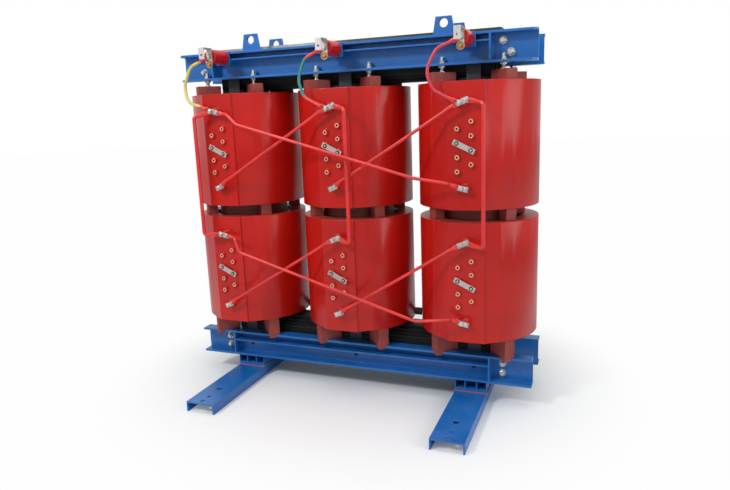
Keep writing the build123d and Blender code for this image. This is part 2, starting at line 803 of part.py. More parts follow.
# ---- conductors, all of them ----------------------------------------------
def conductors():
    upper, lower = 1, 0
    return [
        diagonal("link_upper_b_to_a", 0.0, -PITCH, upper),
        diagonal("link_upper_c_to_b", PITCH, 0.0, upper),
        diagonal("link_lower_b_to_a", 0.0, -PITCH, lower),
        diagonal("link_lower_c_to_b", PITCH, 0.0, lower),
        cross("link_upper_a_to_c", upper, (-10, 158), UPPER_CROSS, UPPER_BENDS),
        cross("link_lower_a_to_c", lower, (-5, 155), LOWER_CROSS, LOWER_BENDS),
        riser("riser_a", 0, -1, 198, 180),
        riser("riser_b", 1, 1, -12, -20),
        riser("riser_c", 2, 1, -10, -14),
        lead("lead_a", 0),
        lead("lead_b", 1),
        lead("lead_c", 2),
    ]


def build():
    """Every node of the transformer by name."""
    nodes = {}
    for s, name in ((-1, "left"), (1, "right")):
        nodes["rail_" + name] = rail(s)
        nodes["pedestal_" + name] = pedestal(s)
    nodes["rail_pads"] = pads()
    for s, name in ((-1, "front"), (1, "rear")):
        nodes["lower_clamp_" + name] = clamp(s, LOW_Z0, LOW_Z1, RIB_LOW_Z, LOWER_BOLTS, True)
        nodes["upper_clamp_" + name] = clamp(s, UP_Z0, UP_Z1, RIB_UP_Z, UPPER_BOLTS, False)
        nodes["tie_plates_" + name] = tie_plates(s)
    nodes["lifting_lugs"] = group([lug(a, b) for a in (-1, 1) for b in (-1, 1)])
    nodes["core_yoke_lower"] = yoke(YOKE_LOW_Z0)
    nodes["core_yoke_upper"] = yoke(YOKE_UP_Z1 - YOKE_H)
    for x, name in zip(PHASES, PHASE_NAMES):
        nodes["core_limb_" + name] = limb(x)
        nodes["lv_coil_" + name] = lv_coil(x)
        for z0, level in zip(LEVELS, LEVEL_NAMES):
            nodes["hv_coil_" + level + "_" + name] = hv_coil(x, z0)
    nodes["top_blocks"] = top_blocks()
    nodes["spacer_blocks"] = spacer_blocks()
    nodes["foot_blocks"] = foot_blocks()
    nodes["tap_inserts"] = tap_inserts()
    nodes["tap_links"] = tap_links()
    nodes["tap_link_bolts"] = tap_link_bolts()
    nodes["terminal_bars"] = terminal_bars()
    nodes["terminal_bolts"] = terminal_bolts()
    nodes["pressing_studs"] = studs()
    nodes["stud_nuts"] = stud_nuts()
    nodes["cross_rods_upper"] = cross_rods(UPPER_BOLTS)
    nodes["cross_rods_lower"] = cross_rods(LOWER_BOLTS)
    nodes["cross_rod_nuts"] = rod_nuts()
    nodes["insulator_brackets"] = insulator_brackets()
    nodes["insulators"] = insulators()
    nodes["terminal_straps"] = terminal_straps()
    nodes["strap_bolts"] = strap_bolts()
    nodes["lv_bars"] = lv_bars()
    nodes["lv_star_bar"] = lv_star_bar()
    lugs = []
    for item in conductors():
        nodes[item.name] = item.body()
        lugs.extend(item.lugs())
        print(item.name, "radius", item.radius, "bend radii", item.radii)
    nodes["cable_lugs"] = group(lugs)
    return nodes


if __name__ == "__main__":
    made = build()
    for node, shape in made.items():
        export_step(shape, "parts/" + node + ".step")
        size = shape.bounding_box().size
        print(node, [round(v, 1) for v in (size.X, size.Y, size.Z)], len(shape.solids()), "solids")
    print(len(made), "nodes")
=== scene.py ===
import json
import logging
import math
from dataclasses import dataclass
from enum import Enum
from typing import Dict, Iterator, List, Optional, Sequence, Tuple, Union

import bpy
import bmesh
from mathutils import Matrix, Vector


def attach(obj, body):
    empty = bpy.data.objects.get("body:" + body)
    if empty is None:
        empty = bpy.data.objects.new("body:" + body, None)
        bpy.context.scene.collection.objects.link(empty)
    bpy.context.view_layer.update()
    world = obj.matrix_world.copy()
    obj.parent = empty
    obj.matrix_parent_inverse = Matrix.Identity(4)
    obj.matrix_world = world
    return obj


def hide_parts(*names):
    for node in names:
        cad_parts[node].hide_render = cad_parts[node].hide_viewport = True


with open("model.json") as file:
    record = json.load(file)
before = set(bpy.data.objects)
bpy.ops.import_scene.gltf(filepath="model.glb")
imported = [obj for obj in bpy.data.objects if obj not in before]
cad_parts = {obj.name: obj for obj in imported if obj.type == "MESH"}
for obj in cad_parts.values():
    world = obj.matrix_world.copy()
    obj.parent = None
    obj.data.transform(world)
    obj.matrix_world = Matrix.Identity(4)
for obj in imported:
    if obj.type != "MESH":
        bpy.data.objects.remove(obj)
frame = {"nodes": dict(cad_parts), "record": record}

logging.basicConfig(level=logging.INFO, format="%(name)s: %(message)s")
log = logging.getLogger("transformer")

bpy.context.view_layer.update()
Colour = Tuple[float, float, float]
Point = Tuple[float, float, float]
Point2 = Tuple[float, float]
FRONT: Point = (0.0, -1.0, 0.0)


# ---- shader maths ------------------------------------------------------------
class Value:
    """A shader socket that can be used in Python arithmetic."""

    def __init__(self, graph: "Graph", socket: bpy.types.NodeSocket) -> None:
        """Keeps the graph and the socket that carries the value."""
        self.graph = graph
        self.socket = socket

    def _math(self, operation: str, first: "Operand", second: "Operand") -> "Value":
        """Adds one Math node.

        Args:
            operation: Blender's name of the operation.
            first: the first operand.
            second: the second operand.

        Returns:
            The result as a value.
        """
        node = self.graph.node("ShaderNodeMath", {"operation": operation}, {0: first, 1: second})
        return Value(self.graph, node.outputs[0])

    def __add__(self, other: "Operand") -> "Value":
        """self + other."""
        return self._math("ADD", self, other)

    def __radd__(self, other: "Operand") -> "Value":
        """other + self."""
        return self._math("ADD", other, self)

    def __sub__(self, other: "Operand") -> "Value":
        """self - other."""
        return self._math("SUBTRACT", self, other)

    def __rsub__(self, other: "Operand") -> "Value":
        """other - self."""
        return self._math("SUBTRACT", other, self)

    def __mul__(self, other: "Operand") -> "Value":
        """self * other."""
        return self._math("MULTIPLY", self, other)

    def __rmul__(self, other: "Operand") -> "Value":
        """other * self."""
        return self._math("MULTIPLY", other, self)

    def __truediv__(self, other: "Operand") -> "Value":
        """self / other."""
        return self._math("DIVIDE", self, other)

    def __pow__(self, other: "Operand") -> "Value":
        """self raised to other."""
        return self._math("POWER", self, other)

    def step(self, low: float, high: float) -> "Value":
        """Smooth rise from 0 at low to 1 at high."""
        settings = {"interpolation_type": "SMOOTHSTEP"}
        inputs = {"Value": self, "From Min": low, "From Max": high}
        node = self.graph.node("ShaderNodeMapRange", settings, inputs)
        return Value(self.graph, node.outputs["Result"])


Operand = Union[Value, float]


class Graph:
    """One node tree, of a material or of the world, with short ways to add nodes."""

    def __init__(self, name: str, world: bool = False) -> None:
        """Starts an empty material, or an empty world, of that name."""
        self.block = (bpy.data.worlds if world else bpy.data.materials).new(name)
        self.block.use_nodes = True
        self.tree = self.block.node_tree
        self.tree.nodes.clear()
        self.output = self.node("ShaderNodeOutputWorld" if world else "ShaderNodeOutputMaterial")

    def node(self, kind: str, settings: Optional[dict] = None, inputs: Optional[dict] = None):
        """Adds a node, sets its settings first, then its inputs.

        Args:
            kind: Blender's node type.
            settings: attributes of the node.
            inputs: socket name or index to a value, a socket or a number.

        Returns:
            The new node.
        """
        made = self.tree.nodes.new(kind)
        for key, value in (settings or {}).items():
            setattr(made, key, value)
        for key, value in (inputs or {}).items():
            self.feed(made.inputs[key], value)
        return made

    def feed(self, socket: bpy.types.NodeSocket, value: object) -> None:
        """Links or sets one input socket."""
        if isinstance(value, Value):
            self.tree.links.new(value.socket, socket)
        elif isinstance(value, bpy.types.NodeSocket):
            self.tree.links.new(value, socket)
        elif isinstance(value, tuple) and len(value) == 3 and socket.type == "RGBA":
            socket.default_value = (*value, 1.0)
        else:
            socket.default_value = value

    def position(self) -> bpy.types.NodeSocket:
        """Place on the object in the row frame, in metres."""
        return self.node("ShaderNodeTexCoord").outputs["Object"]

    def axes(self) -> Tuple[Value, Value, Value]:
        """The three coordinates of the place on the object."""
        parts = self.node("ShaderNodeSeparateXYZ", {}, {0: self.position()})
        return tuple(Value(self, parts.outputs[i]) for i in range(3))

    def facing(self) -> Value:
        """How far the surface faces upwards, from -1 to 1."""
        normal = self.node("ShaderNodeNewGeometry").outputs["Normal"]
        parts = self.node("ShaderNodeSeparateXYZ", {}, {0: normal})
        return Value(self, parts.outputs[2])

    def stretched(self, scale: Point) -> bpy.types.NodeSocket:
        """The place on the object, scaled along each axis."""
        inputs = {0: self.position(), 1: scale}
        return self.node("ShaderNodeVectorMath", {"operation": "MULTIPLY"}, inputs).outputs[0]

    def noise(self, scale: float, detail: float = 3.0, along: Optional[Point] = None) -> Value:
        """Cloudy noise from 0 to 1.

        Args:
            scale: how many clouds a metre.
            detail: octaves of finer noise.
            along: stretch on each axis, or None for even noise.

        Returns:
            The noise value.
        """
        place = self.stretched(along) if along else self.position()
        inputs = {"Vector": place, "Scale": scale, "Detail": detail, "Roughness": 0.55}
        return Value(self, self.node("ShaderNodeTexNoise", {}, inputs).outputs["Fac"])

    def mix(self, factor: Operand, first: object, second: object) -> bpy.types.NodeSocket:
        """Mixes two colours."""
        made = self.node("ShaderNodeMix", {"data_type": "RGBA"})
        for index, value in ((0, factor), (6, first), (7, second)):
            self.feed(made.inputs[index], value)
        return made.outputs[2]

    def rounded(self, radius: float) -> bpy.types.NodeSocket:
        """A normal that rounds edges by that radius in metres."""
        return self.node("ShaderNodeBevel", {"samples": 4}, {"Radius": radius}).outputs[0]

    def edge(self, radius: float) -> Value:
        """A mask that is 1 near sharp edges."""
        true_normal = self.node("ShaderNodeNewGeometry").outputs["Normal"]
        inputs = {0: self.rounded(radius), 1: true_normal}
        dot = self.node("ShaderNodeVectorMath", {"operation": "DOT_PRODUCT"}, inputs)
        return 1.0 - Value(self, dot.outputs["Value"]).step(0.70, 0.995)

    def bump(self, height: Value, distance: float, radius: float = 0.0) -> bpy.types.NodeSocket:
        """A bumped normal, on rounded edges where a radius is given."""
        inputs = {"Height": height, "Distance": distance, "Strength": 1.0}
        if radius > 0.0:
            inputs["Normal"] = self.rounded(radius)
        return self.node("ShaderNodeBump", {}, inputs).outputs[0]

    def surface(self, fixed: Dict[str, object], varied: Dict[str, object]) -> bpy.types.Material:
        """Closes the graph with a Principled shader.

        Args:
            fixed: sockets set to one value all over.
            varied: sockets fed by the graph.

        Returns:
            The finished material.
        """
        return self.close(self.node("ShaderNodeBsdfPrincipled", {}, {**fixed, **varied}))

    def close(self, shader: bpy.types.Node) -> bpy.types.ID:
        """Joins the last shader to the output and returns the material or world."""
        self.feed(self.output.inputs["Surface"], shader.outputs[0])
        return self.block


# ---- finishes ----------------------------------------------------------------
def toned(colour: Colour, gain: float) -> Colour:
    """The same colour, lighter or darker."""
    return tuple(min(1.0, c * gain) for c in colour)


@dataclass(frozen=True)
class CastResin:
    """Glossy pigmented epoxy of the coils and insulators."""

    name: str = "cast_resin"
    colour: Colour = (0.455, 0.0085, 0.0048)
    gloss: float = 0.20
    round_edge: float = 0.006

    def build(self) -> bpy.types.Material:
        """Mottled gloss with a faint cast ripple and a little dust on top."""
        g = Graph(self.name)
        cloud = g.noise(2.6, 4.0)
        streak = g.noise(5.0, 3.0, (1.0, 1.0, 0.12))
        fine = g.noise(160.0, 2.0)
        body = g.mix(cloud.step(0.3, 0.7), toned(self.colour, 0.90), toned(self.colour, 1.07))
        body = g.mix(streak.step(0.45, 0.8) * 0.25, body, toned(self.colour, 0.72))
        dust = g.facing().step(0.6, 0.95) * (0.20 + fine * 0.25)
        body = g.mix(dust, body, (0.44, 0.13, 0.11))
        rough = self.gloss + cloud * 0.05 + fine * 0.04 + dust * 0.35
        height = cloud * 0.9 + streak * 0.35 + fine * 0.012
        normal = g.bump(height, 0.0016, self.round_edge)
        fixed = {"IOR": 1.5, "Specular IOR Level": 0.31}
        return g.surface(fixed, {"Base Color": body, "Roughness": rough, "Normal": normal})


@dataclass(frozen=True)
class MouldedResin:
    """Dull red-brown moulded blocks."""

    name: str = "moulded_blocks"
    colour: Colour = (0.262, 0.040, 0.029)

    def build(self) -> bpy.types.Material:
        """Chalky surface with specks, and edges lightened as a painted highlight."""
        g = Graph(self.name)
        cloud = g.noise(14.0, 4.0)
        speck = g.noise(420.0, 2.0)
        body = g.mix(cloud.step(0.25, 0.75), toned(self.colour, 0.82), toned(self.colour, 1.15))
        body = g.mix(speck.step(0.62, 0.75) * 0.35, body, (0.42, 0.13, 0.10))
        # painted highlight: the rounded edges lightened
        body = g.mix(g.edge(0.003) * 0.4, body, (0.40, 0.12, 0.10))
        rough = 0.52 + cloud * 0.18
        normal = g.bump(speck * 0.4 + cloud, 0.0009, 0.0025)
        return g.surface({}, {"Base Color": body, "Roughness": rough, "Normal": normal})


@dataclass(frozen=True)
class FramePaint:
    """Blue enamel on the clamps, rails and brackets."""

    name: str = "frame_enamel"
    colour: Colour = (0.0055, 0.112, 0.372)
    round_edge: float = 0.0022

    def build(self) -> bpy.types.Material:
        """Orange-peel gloss, with a painted highlight on edges that is patchy with the scuff noise, faint
        rubbed patches and dust.
        """
        g = Graph(self.name)
        cloud = g.noise(3.4, 4.0)
        peel = g.noise(330.0, 1.0)
        scuff = g.noise(26.0, 6.0, (1.0, 1.0, 0.5))
        body = g.mix(cloud.step(0.3, 0.7), toned(self.colour, 0.88), toned(self.colour, 1.12))
        body = g.mix(scuff.step(0.66, 0.74) * 0.15, body, (0.06, 0.22, 0.50))
        # painted highlight: edges paler, more where the scuff noise is high
        edge = g.edge(0.0035) * (0.25 + scuff * 0.4)
        body = g.mix(edge, body, (0.07, 0.25, 0.56))
        dust = g.facing().step(0.7, 0.98) * cloud.step(0.45, 0.8) * 0.10
        body = g.mix(dust, body, (0.30, 0.38, 0.46))
        rough = 0.27 + scuff * 0.10 + dust * 0.8
        normal = g.bump(peel * 0.25 + cloud, 0.0006, self.round_edge)
        fixed = {"Coat Roughness": 0.15, "Specular IOR Level": 0.40}
        varied = {"Base Color": body, "Roughness": rough, "Normal": normal}
        varied["Coat Weight"] = scuff.step(0.9, 0.3) * 0.25
        return g.surface(fixed, varied)


@dataclass(frozen=True)
class Laminations:
    """Black varnished core steel, with its sheet edges showing."""

    name: str = "core_laminations"
    pale_z: float = 2.024

    def build(self) -> bpy.types.Material:
        """Fine lines along Y on near-black varnish, paler above the upper clamps and fading out towards +X.
        """
        g = Graph(self.name)
        sheets = g.noise(60.0, 6.0, (0.02, 16.0, 0.02))
        blot = g.noise(9.0, 4.0)
        body = g.mix(sheets.step(0.42, 0.66), (0.0035, 0.0035, 0.004), (0.014, 0.0135, 0.013))
        x, _, z = g.axes()
        # paler band above the upper clamps, fading out towards +X
        pale_band = z.step(self.pale_z, self.pale_z + 0.003) * (1.0 - x.step(-0.30, 0.05) * 0.85)
        pale = g.mix(blot.step(0.35, 0.65), (0.30, 0.28, 0.25), (0.46, 0.44, 0.41))
        body = g.mix(pale_band * (0.55 + sheets.step(0.3, 0.6) * 0.45), body, pale)
        rough = 0.50 + blot * 0.25
        normal = g.bump(sheets, 0.0007, 0.001)
        fixed = {"Specular IOR Level": 0.25}
        return g.surface(fixed, {"Base Color": body, "Roughness": rough, "Normal": normal})


@dataclass(frozen=True)
class Metal:
    """Plain or plated metal with a brushed grain."""

    name: str
    colour: Colour
    rough: float
    grain: Point = (1.0, 1.0, 1.0)
    tarnish: Colour = (0.30, 0.29, 0.27)
    amount: float = 0.35
    metallic: float = 1.0

    def build(self) -> bpy.types.Material:
        """Grain in the roughness and normal, and blotches of tarnish."""
        g = Graph(self.name)
        grain = g.noise(900.0, 2.0, self.grain)
        blot = g.noise(48.0, 5.0)
        dull = blot.step(0.42, 0.72) * self.amount
        body = g.mix(dull, self.colour, self.tarnish)
        rough = self.rough + grain * 0.14 + dull * 0.25
        normal = g.bump(grain * 0.3 + blot, 0.0004, 0.0008)
        fixed = {"Metallic": self.metallic}
        return g.surface(fixed, {"Base Color": body, "Roughness": rough, "Normal": normal})


@dataclass(frozen=True)
class ShadedTiePaint:
    """Tie plates in blue paint, coloured blue-black as painted shade."""

    name: str = "tie_steel"

    def build(self) -> bpy.types.Material:
        """Blue-black painted shade with rubbed lines."""
        g = Graph(self.name)
        cloud = g.noise(20.0, 4.0)
        # painted shade: the plates' blue paint coloured near black
        body = g.mix(cloud.step(0.3, 0.7), (0.008, 0.010, 0.018), (0.020, 0.026, 0.046))
        normal = g.bump(cloud, 0.0006, 0.001)
        return g.surface({}, {"Base Color": body, "Roughness": 0.42 + cloud * 0.2, "Normal": normal})


@dataclass(frozen=True)
class DeepShade:
    """Painted shade: near-black standing in for the shadow inside blind threaded bores and countersinks."""

    name: str = "shadowed_bore"

    def build(self) -> bpy.types.Material:
        """Nearly black painted shade, with thread rings that hardly show."""
        g = Graph(self.name)
        shade_grain = g.noise(600.0, 2.0)
        body = g.mix(shade_grain, (0.0010, 0.0007, 0.0006), (0.0040, 0.0025, 0.0020))
        return g.surface({"Specular IOR Level": 0.05}, {"Base Color": body, "Roughness": 0.7 + shade_grain * 0.2})


@dataclass(frozen=True)
class FoilWinding:
    """Impregnated foil winding inside the coils."""

    name: str = "foil_winding"

    def build(self) -> bpy.types.Material:
        """Dark red wrap with bands and drips."""
        g = Graph(self.name)
        wrap = g.noise(10.0, 4.0, (0.2, 0.2, 9.0))
        body = g.mix(wrap.step(0.3, 0.7), (0.10, 0.012, 0.008), (0.20, 0.030, 0.020))
        normal = g.bump(wrap, 0.0015, 0.002)
        return g.surface({}, {"Base Color": body, "Roughness": 0.45 + wrap * 0.2, "Normal": normal})


@dataclass(frozen=True)
class Sleeve:
    """Shrink sleeve or phase sleeve of a conductor, red where no band colours it."""

    name: str
    colour: Colour = (0.60, 0.022, 0.020)
    band: Optional[Colour] = None
    band_low: float = 0.0
    band_high: float = 0.0

    def build(self) -> bpy.types.Material:
        """Satin plastic with faint wrinkles; a band of another colour between two heights."""
        g = Graph(self.name)
        wrinkle = g.noise(120.0, 3.0, (1.0, 1.0, 1.0))
        cloud = g.noise(11.0, 3.0)
        body = g.mix(cloud.step(0.3, 0.7), toned(self.colour, 0.88), toned(self.colour, 1.12))
        if self.band is not None:
            height = g.axes()[2]
            inside = height.step(self.band_low - 0.002, self.band_low + 0.002)
            inside = inside * (1.0 - height.step(self.band_high - 0.002, self.band_high + 0.002))
            other = g.mix(cloud.step(0.3, 0.7), toned(self.band, 0.85), toned(self.band, 1.08))
            body = g.mix(inside, body, other)
        rough = 0.30 + wrinkle * 0.12
        normal = g.bump(wrinkle * 0.3 + cloud, 0.0007)
        return g.surface({}, {"Base Color": body, "Roughness": rough, "Normal": normal})


@dataclass(frozen=True)
class Elastomer:
    """Dull red pad under the pedestals."""

    name: str = "pad_elastomer"

    def build(self) -> bpy.types.Material:
        """Matt rubber with a grain."""
        g = Graph(self.name)
        grain = g.noise(200.0, 3.0)
        body = g.mix(grain.step(0.3, 0.7), (0.30, 0.09, 0.10), (0.46, 0.17, 0.18))
        normal = g.bump(grain, 0.0006, 0.001)
        return g.surface({}, {"Base Color": body, "Roughness": 0.72 + grain * 0.12, "Normal": normal})


class Finish(Enum):
    """Every finish by the record's material slot."""

    FRAME = "frame_blue"
    PAD = "pad_rubber"
    TIE = "tie_steel"
    CORE = "core_black"
    VOID = "shadowed_bore"
    FOIL = "lv_winding"
    RESIN = "resin_red"
    BLOCK = "block_resin"
    BRASS = "brass"
    RING = "dull_brass"
    LINK = "link_red"
    LEAD_A = "lead_yellow"
    LEAD_B = "lead_green"
    LEAD_C = "lead_red"
    TINNED = "tinned"
    ALUMINIUM = "aluminium"
    ZINC = "zinc"


class Palette:
    """Builds each material once and hands it out by slot."""

    def __init__(self) -> None:
        """Makes all finishes."""
        recipes = {
            Finish.FRAME: FramePaint(),
            Finish.PAD: Elastomer(),
            Finish.TIE: ShadedTiePaint(),
            Finish.CORE: Laminations(),
            Finish.VOID: DeepShade(),
            Finish.FOIL: FoilWinding(),
            Finish.RESIN: CastResin(),
            Finish.BLOCK: MouldedResin(),
            Finish.BRASS: Metal("insert_brass", (0.78, 0.40, 0.26), 0.34, tarnish=(0.42, 0.20, 0.12),
                                amount=0.40, metallic=0.9),
            Finish.RING: Metal("dull_brass", (0.40, 0.23, 0.12), 0.38, tarnish=(0.20, 0.14, 0.07),
                               amount=0.6, metallic=0.9),
            Finish.LINK: Sleeve("link_sleeve"),
            Finish.LEAD_A: Sleeve("lead_yellow", band=(0.54, 0.47, 0.12), band_low=1.712, band_high=1.962),
            Finish.LEAD_B: Sleeve("lead_green", band=(0.020, 0.21, 0.175), band_low=1.738, band_high=1.938),
            Finish.LEAD_C: Sleeve("lead_red", colour=(0.50, 0.030, 0.052)),
            Finish.TINNED: Metal("tinned_copper", (0.50, 0.465, 0.42), 0.36, (1.0, 1.0, 6.0),
                                 amount=0.55, metallic=0.85),
            Finish.ALUMINIUM: Metal("bright_aluminium", (0.50, 0.48, 0.455), 0.40, (6.0, 1.0, 1.0),
                                    (0.36, 0.35, 0.33), 0.45, 0.80),
            Finish.ZINC: Metal("zinc_plate", (0.56, 0.56, 0.54), 0.26, tarnish=(0.20, 0.20, 0.19),
                               amount=0.6),
        }
        self.materials = {key: recipe.build() for key, recipe in recipes.items()}

    def of(self, finish: Finish) -> bpy.types.Material:
        """The material of one finish."""
        return self.materials[finish]


# ---- shape helpers -------------------------------------------------------------
class Workshop:
    """Turns meshes into pieces that ride on the transformer."""

    def __init__(self, palette: Palette) -> None:
        """Keeps the palette for dressing pieces."""
        self.palette = palette

    def piece(self, name: str, mesh: bmesh.types.BMesh, finish: Finish,
              replaced: Sequence[str] = (), smooth: float = 35.0) -> bpy.types.Object:
        """Makes one object of a mesh, dresses it and fixes it to the transformer.

        Args:
            name: the piece's name.
            mesh: its shape in the row frame, in metres.
            finish: what it is made of.
            replaced: CAD nodes that it stands for.
            smooth: edges sharper than this angle stay sharp, in degrees.

        Returns:
            The new object.
        """
        data = bpy.data.meshes.new(name)
        bmesh.ops.recalc_face_normals(mesh, faces=mesh.faces)
        mesh.to_mesh(data)
        mesh.free()
        data.shade_smooth()
        data.set_sharp_from_angle(angle=math.radians(smooth))
        made = bpy.data.objects.new(name, data)
        bpy.context.scene.collection.objects.link(made)
        data.materials.append(self.palette.of(finish))
        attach(made, "root")
        if replaced:
            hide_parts(*replaced)
        log.info("%s: %d faces", name, len(data.polygons))
        return made


def frame_at(origin: Point, direction: Point) -> Matrix:
    """A placement whose Z axis points along a direction.

    Args:
        origin: where local zero goes.
        direction: where local Z points.

    Returns:
        The placement as a 4 by 4 matrix.
    """
    turn = Vector(direction).to_track_quat("Z", "Y").to_matrix().to_4x4()
    return Matrix.Translation(Vector(origin)) @ turn


def lathe(mesh: bmesh.types.BMesh, profile: Sequence[Tuple[float, float]], place: Matrix,
          segments: int = 32) -> None:
    """Adds a turned shape to a mesh.

    Args:
        mesh: where it is added.
        profile: pairs of radius and height along the axis, in metres.
        place: placement of the axis.
        segments: facets round the axis.
    """
    rings = []
    for radius, height in profile:
        if radius <= 0.0:
            rings.append([mesh.verts.new(place @ Vector((0.0, 0.0, height)))])
            continue
        ring = []
        for k in range(segments):
            angle = 2.0 * math.pi * k / segments
            local = Vector((radius * math.cos(angle), radius * math.sin(angle), height))
            ring.append(mesh.verts.new(place @ local))
        rings.append(ring)
    for low, high in zip(rings[:-1], rings[1:]):
        bridge(mesh, low, high)


def bridge(mesh: bmesh.types.BMesh, low: List, high: List) -> None:
    """Adds the faces between two rings, either of which may be one point."""
    count = max(len(low), len(high))
    for k in range(count):
        nxt = (k + 1) % count
        if len(low) == 1:
            mesh.faces.new((low[0], high[k], high[nxt]))
        elif len(high) == 1:
            mesh.faces.new((low[k], low[nxt], high[0]))
        else:
            mesh.faces.new((low[k], low[nxt], high[nxt], high[k]))


def loft(mesh: bmesh.types.BMesh, sections: Sequence[Sequence[Vector]]) -> None:
    """Joins closed sections of equal count into a capped solid."""
    rings = [[mesh.verts.new(p) for p in section] for section in sections]
    for low, high in zip(rings[:-1], rings[1:]):
        bridge(mesh, low, high)
    mesh.faces.new(list(reversed(rings[0])))
    mesh.faces.new(rings[-1])


def washer_profile(inner: float, outer: float, low: float, high: float) -> List[Tuple[float, float]]:
    """A flat ring with softened outer edges."""
    soft = min(0.0006, (high - low) / 3.0)
    return [(inner, low), (outer - soft, low), (outer, low + soft), (outer, high - soft),
            (outer - soft, high), (inner, high), (inner, low)]


def hexagon(mesh: bmesh.types.BMesh, place: Matrix, flats: float, low: float, high: float,
            chamfer: float = 0.0012, turn: float = 0.0) -> None:
    """Adds a hexagon head or nut with chamfered corners at its high end.

    Args:
        mesh: where it is added.
        place: placement of its axis.
        flats: width across flats, in metres.
        low: where it starts along the axis.
        high: where it ends.
        chamfer: drop of each chamfer; none at the low end where it is seated.
        turn: angle about the axis, in degrees.
    """
    corner = flats / math.sqrt(3.0)
    rings = []
    levels = ((low, corner), (high - chamfer, corner), (high, flats / 2.0 * 0.97), (high, flats * 0.30))
    for height, radius in levels:
        ring = []
        for k in range(6):
            angle = math.radians(turn + 60.0 * k)
            local = Vector((radius * math.cos(angle), radius * math.sin(angle), height))
            ring.append(mesh.verts.new(place @ local))
        rings.append(ring)
    for first, second in zip(rings[:-1], rings[1:]):
        bridge(mesh, first, second)
    mesh.faces.new(list(reversed(rings[0])))
    mesh.faces.new(rings[-1])


# ---- layout shared by the sub-assemblies ----------------------------------------
@dataclass(frozen=True)
class Layout:
    """Driving sizes of the transformer, in metres."""

    pitch: float = 0.727
    coil_height: float = 0.651
    coil_gap: float = 0.068
    coil_foot: float = 0.411
    panel: float = -0.333
    boss: float = 0.035
    bar_thick: float = 0.006
    top_bar: float = 0.066
    foot_bar: float = 0.054
    bar_end: float = 0.015
    bar_shift: float = 0.008
    terminal_in: float = 0.102
    foot_extra: float = 0.014
    palm_thick: float = 0.005
    tap_shift: float = -0.008
    tap_step: float = 0.036
    tap_out: float = 0.013
    linked: Tuple[int, int] = (3, 4)
    stud_x: float = 0.160
    stud_y: float = 0.168
    flange: Tuple[float, float] = (1.867, 1.879)
    web: float = 0.141
    rods_at: Tuple[Point2, ...] = ((0.880, 1.977), (0.920, 1.918), (0.890, 0.236), (0.890, 0.180))
    strap_face: float = -0.349
    strap_z: float = 1.989

    def studs(self) -> Iterator[Point2]:
        """X and Y of every pressing stud."""
        for x in self.phases():
            for sx in (-1, 1):
                for sy in (-1, 1):
                    yield (x + sx * self.stud_x, sy * self.stud_y)

    def rods(self) -> Iterator[Tuple[float, int, float]]:
        """X, side and Z of every end of a cross rod."""
        for pair in (self.rods_at[:2], self.rods_at[2:]):
            for sx in (-1, 1):
                for sy in (-1, 1):
                    for x, z in pair:
                        yield (sx * x, sy, z)

    def coils(self) -> Iterator[Tuple[float, int]]:
        """X and level of every coil."""
        for x in self.phases():
            for level in (0, 1):
                yield (x, level)

    def bar_bolts(self) -> Iterator[Tuple[Point, int]]:
        """Seat of every terminal bolt on its palms, and its side of the bar."""
        for x, level in self.coils():
            for top in (True, False):
                for side in (-1, 1):
                    palms = palms_on(self, x, level, top, side)
                    bx, bz = self.bolt(x, level, top, side)
                    yield ((bx, self.palm_face() - palms * self.palm_thick, bz), side)

    def open_taps(self) -> Iterator[Point2]:
        """X and Z of every tap that carries no link."""
        for x, level in self.coils():
            for k, tap in enumerate(self.taps(x, level)):
                if k not in self.linked:
                    yield tap

    def linked_taps(self) -> Iterator[Point2]:
        """X and Z of every tap under a link."""
        for x, level in self.coils():
            for k in self.linked:
                yield self.taps(x, level)[k]

    def phases(self) -> Tuple[float, float, float]:
        """X of the three limbs."""
        return (-self.pitch, 0.0, self.pitch)

    def levels(self) -> Tuple[float, float]:
        """Foot height of the lower and the upper coils."""
        return (self.coil_foot, self.coil_foot + self.coil_height + self.coil_gap)

    def terminal(self, level: int, top: bool) -> float:
        """Height of a coil terminal."""
        foot = self.levels()[level]
        if top:
            return foot + self.coil_height - self.terminal_in
        return foot + self.terminal_in + self.foot_extra

    def palm_face(self) -> float:
        """Y of the plane on which the first palms lie."""
        return self.panel - self.boss - self.bar_thick

    def bar_tilt(self, x: float, top: bool) -> float:
        """Lean of a terminal bar in degrees."""
        if top:
            return 14.0 if x < 0.0 else -22.0
        return 14.0 if x > 0.0 else -22.0

    def bolt(self, x: float, level: int, top: bool, side: int) -> Tuple[float, float]:
        """X and Z of the left or right bolt of a terminal bar."""
        tilt = math.radians(self.bar_tilt(x, top))
        off = side * ((self.top_bar if top else self.foot_bar) / 2.0 - self.bar_end)
        centre = x - self.bar_shift if x > 0.0 else x
        return (centre + off * math.cos(tilt), self.terminal(level, top) - off * math.sin(tilt))

    def insulators(self) -> Tuple[float, float, float]:
        """X of the three insulator axes."""
        return tuple(x + dx for x, dx in zip(self.phases(), (-0.012, -0.022, -0.020)))

    def taps(self, x: float, level: int) -> List[Tuple[float, float]]:
        """Centres of a coil's eight taps, counted downwards."""
        middle = self.levels()[level] + self.coil_height / 2.0
        points = []
        for k in range(8):
            side = 1 if k % 2 == 0 else -1
            points.append((x + self.tap_shift + side * self.tap_step, middle + (3.5 - k) * self.tap_step))
        return points


